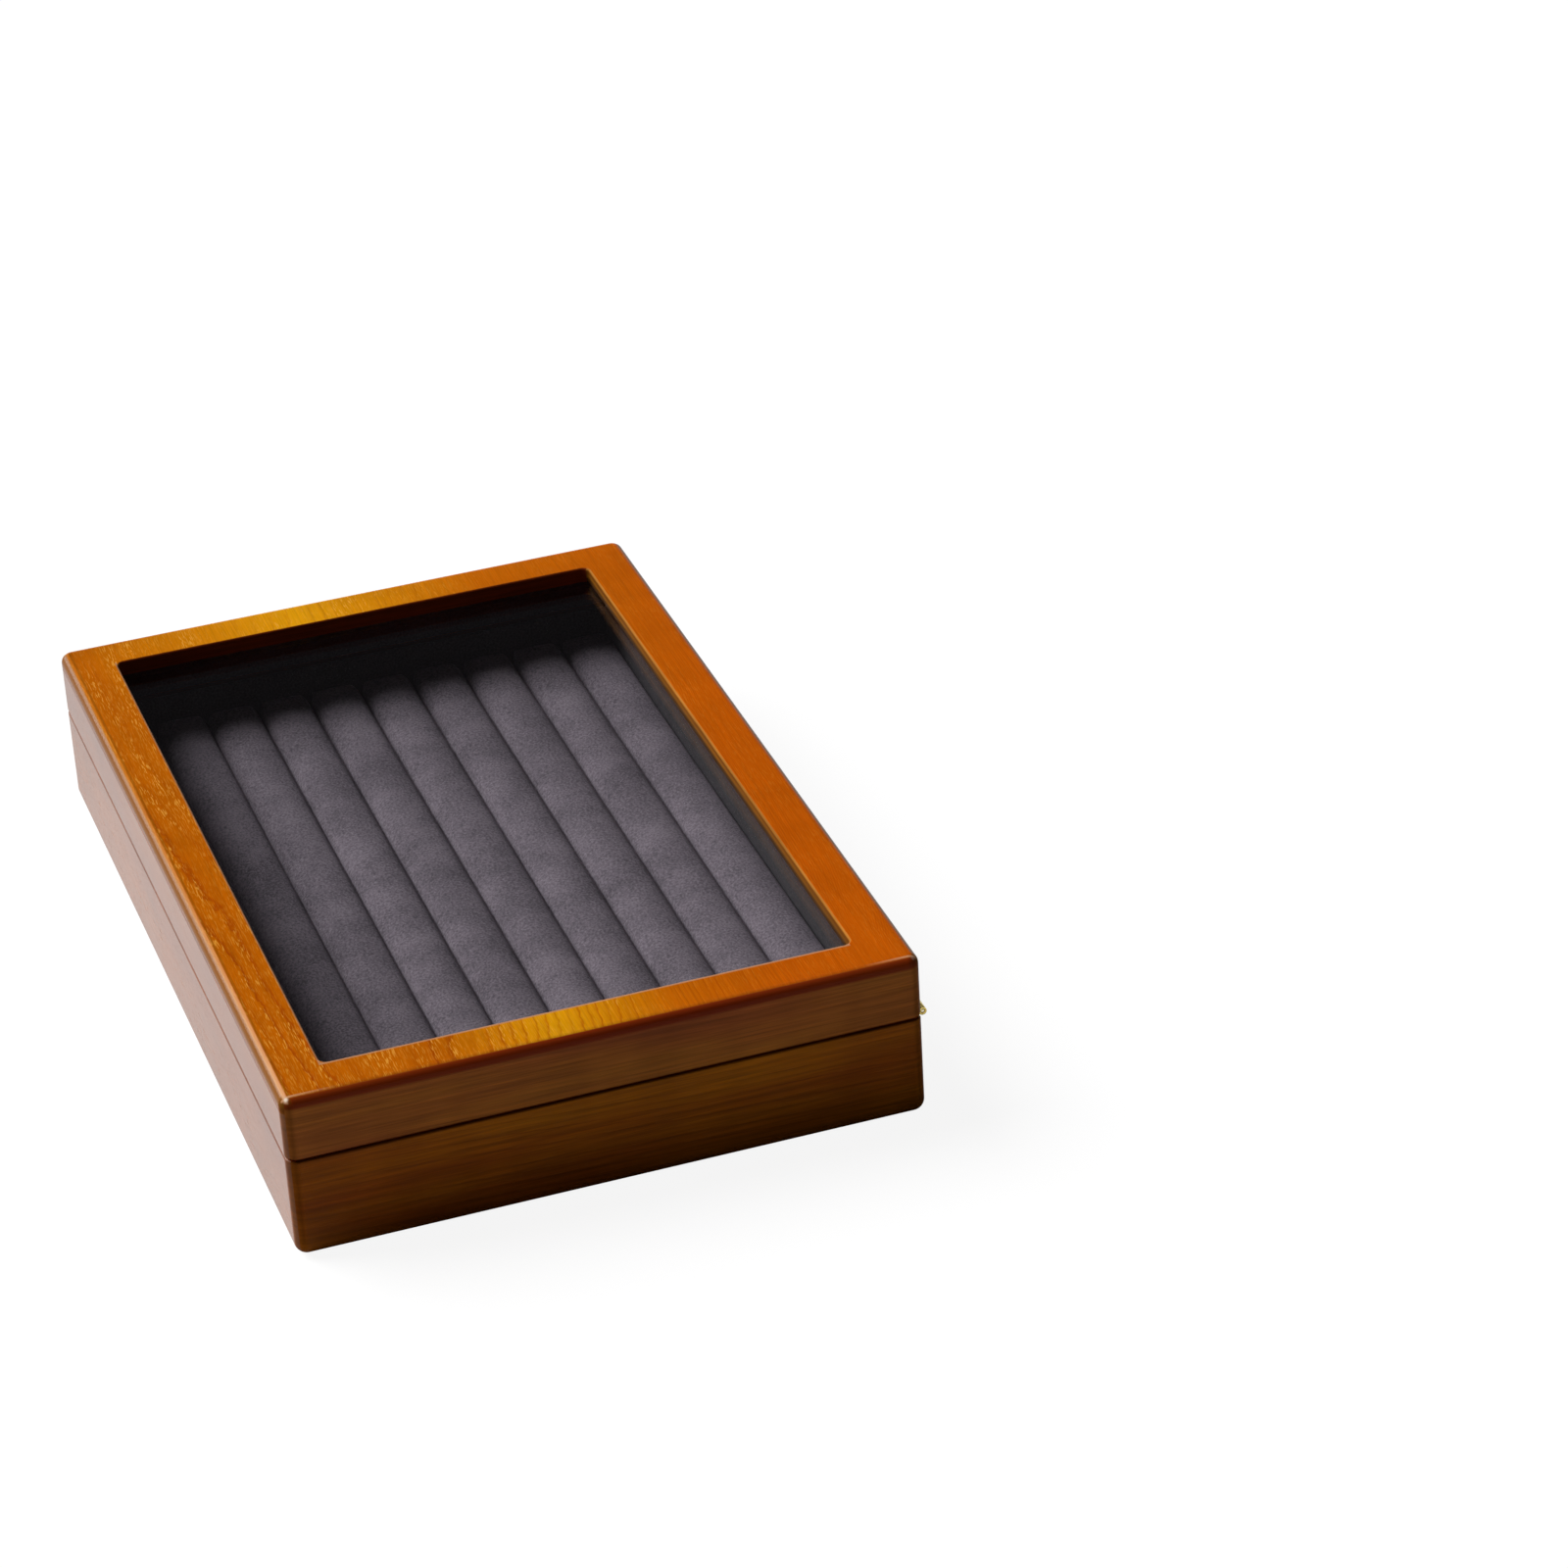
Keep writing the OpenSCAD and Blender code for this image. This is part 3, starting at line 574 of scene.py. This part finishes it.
grey_velvet = velvet("grey-violet velvet", linear("#4C444C"), linear("#7B707A"), 0.9, 22.0, 0.03)
rolls = []
for i in range(1, 11):
    low, high = (Vector(corner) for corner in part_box(f"ring_roll_{i:02d}"))
    slack = Vector((ROLL_SLACK, ROLL_SLACK, 0))
    middle, half_w = (low.y + high.y) / 2, (high.y - low.y) / 2

    def crowned(point, middle=middle, half_w=half_w, low=low, high=high, i=i):
        share = (point.z - low.z) / (high.z - low.z)
        drop = ROLL_CROWN * (abs(point.y - middle) / half_w) ** 2
        uneven = noise.noise(Vector((point.x * UNEVEN_PER_M, i * 7.3, 0))) * ROLL_UNEVEN
        return Vector((point.x, point.y, point.z - (drop - uneven) * share - ROLL_SLACK * share))

    roll = soft_block(f"velvet_roll_{i:02d}", low + slack, high - slack, ROLL_ROUND, (80, 5, 5), crowned)
    rolls.append((roll, low, high))

starts = []
for roll, low, high in rolls:
    remesh = roll.modifiers.new("remesh", "REMESH")
    remesh.mode = "VOXEL"
    remesh.voxel_size = ROLL_VOXEL
    remesh.use_smooth_shade = True
    bpy.context.view_layer.update()
    evaluated = roll.evaluated_get(bpy.context.evaluated_depsgraph_get())
    roll_mesh = bpy.data.meshes.new_from_object(evaluated)
    roll.modifiers.remove(remesh)
    roll.data = roll_mesh
    start = np.empty(len(roll_mesh.vertices) * 3)
    roll_mesh.vertices.foreach_get("co", start)
    starts.append(start.reshape(-1, 3))
    cloth = roll.modifiers.new("cloth", "CLOTH")
    cloth.settings.use_pressure = True
    cloth.settings.uniform_pressure_force = ROLL_PRESSURE
    cloth.settings.effector_weights.gravity = 0.0
    cloth.point_cache.frame_start, cloth.point_cache.frame_end = 1, SWELL_STEPS
for step in range(1, SWELL_STEPS + 1):
    scene.frame_set(step)
for (roll, low, high), start in zip(rolls, starts):
    swollen = bpy.data.meshes.new_from_object(roll.evaluated_get(bpy.context.evaluated_depsgraph_get()))
    roll.modifiers.clear()
    flat = np.empty(len(swollen.vertices) * 3)
    swollen.vertices.foreach_get("co", flat)
    move = flat.reshape(-1, 3) - start
    far = np.linalg.norm(move, axis=1, keepdims=True)
    move *= np.minimum(1.0, ROLL_SWELL / np.maximum(far, 1e-9))
    swollen.vertices.foreach_set("co", (start + move).ravel())
    roll.data = swollen
scene.frame_set(1)
for roll, low, high in rolls:
    smooth = roll.modifiers.new("smooth", "SUBSURF")
    smooth.levels = smooth.render_levels = 1
    roll_mesh = bpy.data.meshes.new_from_object(roll.evaluated_get(bpy.context.evaluated_depsgraph_get()))
    roll.modifiers.remove(smooth)
    roll.data = roll_mesh
    fitted_in(roll_mesh, low, high)
    roll_mesh.shade_smooth()
    roll_mesh.materials.clear()
    roll_mesh.materials.append(grey_velvet)
    node = "ring_roll_" + roll.name[-2:]
    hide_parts(node)
    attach(roll, "base")

# ---- Glass ----
# One pane of clear float glass, seated against the underside of the top
# sheet. Float glass is faintly green and has no texture but a trace of dust.
float_glass, tree, mm = new_material("clear float glass")
dust = add(tree, "MapRange", add(tree, "TexNoise", mm, Scale=1 / 70, Detail=4.0), 0.4, 0.8, 0.0, 0.03)
add(tree, "OutputMaterial", add(tree, "BsdfPrincipled", linear("#F6FBF9"), Roughness=dust, IOR=1.52,
                                Transmission_Weight=1.0))
finish_node("lid_glass", float_glass)
# Light passes straight through, and gathers in no bright spots under the pane
nodes["lid_glass"].visible_shadow = False
nodes["lid_glass"].visible_diffuse = False

# ---- Hinges ----
# Two solid brass butt hinges let into the rims. Each has five knuckles on a
# pin of paler brass with domed ends. The leaves are tumbled soft at their
# edges and lacquered.
HINGE_EASE, PIN_EASE = 0.14 * MM, 0.45 * MM
SHARP = math.radians(32)


def eased_copy(name, node, width, segments):
    """A copy of a CAD node whose sharp edges are rounded by width."""
    mesh = nodes[node].data.copy()
    mesh.name = name
    body = bmesh.new()
    body.from_mesh(mesh)
    bmesh.ops.remove_doubles(body, verts=body.verts, dist=1e-6)
    bmesh.ops.dissolve_limit(body, angle_limit=math.radians(1), verts=body.verts, edges=body.edges)
    body.to_mesh(mesh)
    body.free()
    if "custom_normal" in mesh.attributes:
        mesh.attributes.remove(mesh.attributes["custom_normal"])
    copy = bpy.data.objects.new(name, mesh)
    scene.collection.objects.link(copy)
    bevel = copy.modifiers.new("ease", "BEVEL")
    bevel.width, bevel.segments = width, segments
    bevel.limit_method, bevel.angle_limit = "ANGLE", SHARP
    done = bpy.data.meshes.new_from_object(copy.evaluated_get(bpy.context.evaluated_depsgraph_get()))
    copy.modifiers.remove(bevel)
    copy.data = done
    done.shade_smooth()
    done.set_sharp_from_angle(angle=SHARP)
    done.materials.clear()
    return copy


def metal(name, colour, worn, rough, grain):
    """A metal whose sheen varies with handling, in patches of grain."""
    material, tree, mm = new_material(name)
    patch = add(tree, "TexNoise", mm, Scale=1 / grain, Detail=3.0)
    scratch = add(tree, "TexNoise", add(tree, "Mapping", mm, Scale=(0.3, 6.0, 6.0)), Scale=1.0, Detail=2.0)
    tone = add(tree, "ValToRGB", patch, ramp=[(0.35, worn), (0.65, colour)])
    sheen = add(tree, "MapRange", scratch, 0.3, 0.7, rough * 0.8, rough * 1.3)
    bump = add(tree, "Bump", Height=scratch, Strength=0.15, Distance=0.02 * MM)
    add(tree, "OutputMaterial", add(tree, "BsdfPrincipled", tone, Metallic=1.0, Roughness=sheen, Normal=bump))
    return material


brass = metal("lacquered brass", linear("#E8D284"), linear("#CFB662"), 0.22, 3.0)
pale_brass = metal("polished pale brass of the pins", linear("#F8F0DC"), linear("#E9DFC0"), 0.16, 3.0)
for side in ("left", "right"):
    for node, part in ((f"{side}_hinge_base_leaf", "base"), (f"{side}_hinge_lid_leaf", "lid"),
                       (f"{side}_hinge_pin", "base")):
        is_pin = node.endswith("pin")
        piece = eased_copy(f"brass_{node}", node, PIN_EASE if is_pin else HINGE_EASE, 4 if is_pin else 2)
        piece.data.materials.append(pale_brass if is_pin else brass)
        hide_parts(node)
        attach(piece, part)

# ---- Hinge screws ----
# Each leaf is held by two small countersunk brass screws with a cross slot,
# driven home by hand, so that no two slots point the same way.
SCREW_HEAD, SCREW_SHANK, SCREW_LONG, SCREW_SINK = 1.7 * MM, 0.9 * MM, 8.0 * MM, 0.9 * MM
SLOT_W, SLOT_L, SLOT_DEEP = 0.42 * MM, 1.9 * MM, 0.55 * MM
THREAD_PITCH, THREAD_DEEP, SCREW_SIDES = 0.7 * MM, 0.12 * MM, 24
HINGES_APART, SCREWS_APART, SCREW_Y = 312 * MM, 18 * MM, 111.4 * MM


def cross_slotted_screw():
    """One screw's mesh, with its head's face at z = 0 and its point below."""
    profile = [(0.0, 0.0), (SCREW_HEAD - 0.05 * MM, 0.0), (SCREW_HEAD, -0.05 * MM), (SCREW_SHANK, -SCREW_SINK)]
    tip = -SCREW_LONG + 2 * SCREW_SHANK
    z = -SCREW_SINK - 0.4 * MM
    while z - THREAD_PITCH > tip:
        profile += [(SCREW_SHANK - THREAD_DEEP, z), (SCREW_SHANK, z - THREAD_PITCH / 2)]
        z -= THREAD_PITCH
    profile += [(SCREW_SHANK - THREAD_DEEP, tip), (0.0, -SCREW_LONG)]
    shell = bmesh.new()
    rims = []
    for r, z in profile:
        turns = [2 * math.pi * k / SCREW_SIDES for k in range(SCREW_SIDES if r else 1)]
        rims.append([shell.verts.new((r * math.cos(t), r * math.sin(t), z)) for t in turns])
    for upper, lower in zip(rims, rims[1:]):
        for k in range(SCREW_SIDES):
            after = k + 1
            ring = [upper[k % len(upper)], upper[after % len(upper)], lower[after % len(lower)], lower[k % len(lower)]]
            shell.faces.new(list(dict.fromkeys(ring)))
    bmesh.ops.recalc_face_normals(shell, faces=shell.faces)
    mesh = bpy.data.meshes.new("cross_slotted_screw")
    shell.to_mesh(mesh)
    shell.free()
    return mesh


def cross_cutter():
    """What a cross-head driver leaves: a cross that narrows towards its floor."""
    a, b = SLOT_W / 2, SLOT_L / 2
    arm = [(a, b), (-a, b), (-a, a), (-b, a), (-b, -a), (-a, -a), (-a, -b), (a, -b), (a, -a), (b, -a), (b, a), (a, a)]
    shell = bmesh.new()
    rims = [[shell.verts.new((x * k, y * k, z)) for x, y in arm] for k, z in ((0.55, -SLOT_DEEP), (1.1, 0.1 * MM))]
    shell.faces.new(reversed(rims[0]))
    shell.faces.new(rims[1])
    for k in range(len(arm)):
        after = (k + 1) % len(arm)
        shell.faces.new((rims[0][k], rims[0][after], rims[1][after], rims[1][k]))
    bmesh.ops.recalc_face_normals(shell, faces=shell.faces)
    mesh = bpy.data.meshes.new("cross_cutter")
    shell.to_mesh(mesh)
    shell.free()
    return mesh


screw = bpy.data.objects.new("one_screw", cross_slotted_screw())
cutter = bpy.data.objects.new("cross_cutter", cross_cutter())
for each in (screw, cutter):
    scene.collection.objects.link(each)
cut = screw.modifiers.new("cut", "BOOLEAN")
cut.object, cut.operation, cut.solver = cutter, "DIFFERENCE", "EXACT"
slotted = bpy.data.meshes.new_from_object(screw.evaluated_get(bpy.context.evaluated_depsgraph_get()))
for each in (screw, cutter):
    bpy.data.objects.remove(each)

# The row of screws: pairs of places, a pair for each hinge, and a screw
# turned by chance at each place
row = bpy.data.node_groups.new("screw row", "GeometryNodeTree")
for name, kind, direction in (("Screw", "NodeSocketGeometry", "INPUT"), ("Hinges Apart", "NodeSocketFloat", "INPUT"),
                              ("Screws Apart", "NodeSocketFloat", "INPUT"), ("Place", "NodeSocketVector", "INPUT"),
                              ("Turned Over", "NodeSocketVector", "INPUT"), ("Seed", "NodeSocketInt", "INPUT"),
                              ("Metal", "NodeSocketMaterial", "INPUT"), ("Screws", "NodeSocketGeometry", "OUTPUT")):
    row.interface.new_socket(name, in_out=direction, socket_type=kind)
given = add(row, "NodeGroupInput").node.outputs


def pair(apart):
    """Two points, apart from each other along X, with the origin midway."""
    start = add(row, "CombineXYZ", add(row, "Math MULTIPLY", given[apart], -0.5))
    return add(row, "GeometryNodeMeshLine", 2, start, add(row, "CombineXYZ", given[apart]))


places = add(row, "GeometryNodeInstanceOnPoints", pair("Hinges Apart"), Instance=pair("Screws Apart"))
places = add(row, "GeometryNodeRealizeInstances", places)
turn = add(row, "FunctionNodeRandomValue FLOAT", 0.0, math.pi, Seed=given["Seed"])
driven = add(row, "GeometryNodeInstanceOnPoints", places, Instance=given["Screw"],
             Rotation=add(row, "CombineXYZ", 0.0, 0.0, turn))
driven = add(row, "GeometryNodeRealizeInstances", driven)
driven = add(row, "GeometryNodeTransform", driven, Rotation=given["Turned Over"], Translation=given["Place"])
add(row, "NodeGroupOutput", add(row, "GeometryNodeSetMaterial", driven, Material=given["Metal"]))
sockets = {item.name: item.identifier for item in row.interface.items_tree if item.in_out == "INPUT"}
for part, turned, seed in (("base", 0.0, 3), ("lid", math.pi, 8)):
    screws = bpy.data.objects.new(f"brass_{part}_hinge_screws", slotted.copy())
    scene.collection.objects.link(screws)
    low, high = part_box(f"{part}_hinge_screws")
    face = low[2] if turned else high[2]
    maker = screws.modifiers.new("row", "NODES")
    maker.node_group = row
    for name, value in (("Hinges Apart", HINGES_APART), ("Screws Apart", SCREWS_APART), ("Place", (0, SCREW_Y, face)),
                        ("Turned Over", (turned, 0, 0)), ("Seed", seed), ("Metal", brass)):
        maker[sockets[name]] = value
    bpy.context.view_layer.update()
    driven_mesh = bpy.data.meshes.new_from_object(screws.evaluated_get(bpy.context.evaluated_depsgraph_get()))
    screws.modifiers.remove(maker)
    screws.data = driven_mesh
    driven_mesh.shade_smooth()
    driven_mesh.set_sharp_from_angle(angle=SHARP)
    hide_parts(f"{part}_hinge_screws")
    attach(screws, part)

# ---- Catch ----
# A nickel-plated disc magnet is glued into the middle of each front rim. The
# two pull the lid shut. Plating rounds a magnet's edges a little.
MAGNET_EASE = 0.25 * MM
nickel = metal("nickel plate", linear("#C9C7C2"), linear("#B2AFA9"), 0.2, 2.0)
for part in ("base", "lid"):
    disc = eased_copy(f"nickel_{part}_magnet", f"{part}_magnet", MAGNET_EASE, 3)
    disc.data.materials.append(nickel)
    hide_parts(f"{part}_magnet")
    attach(disc, part)
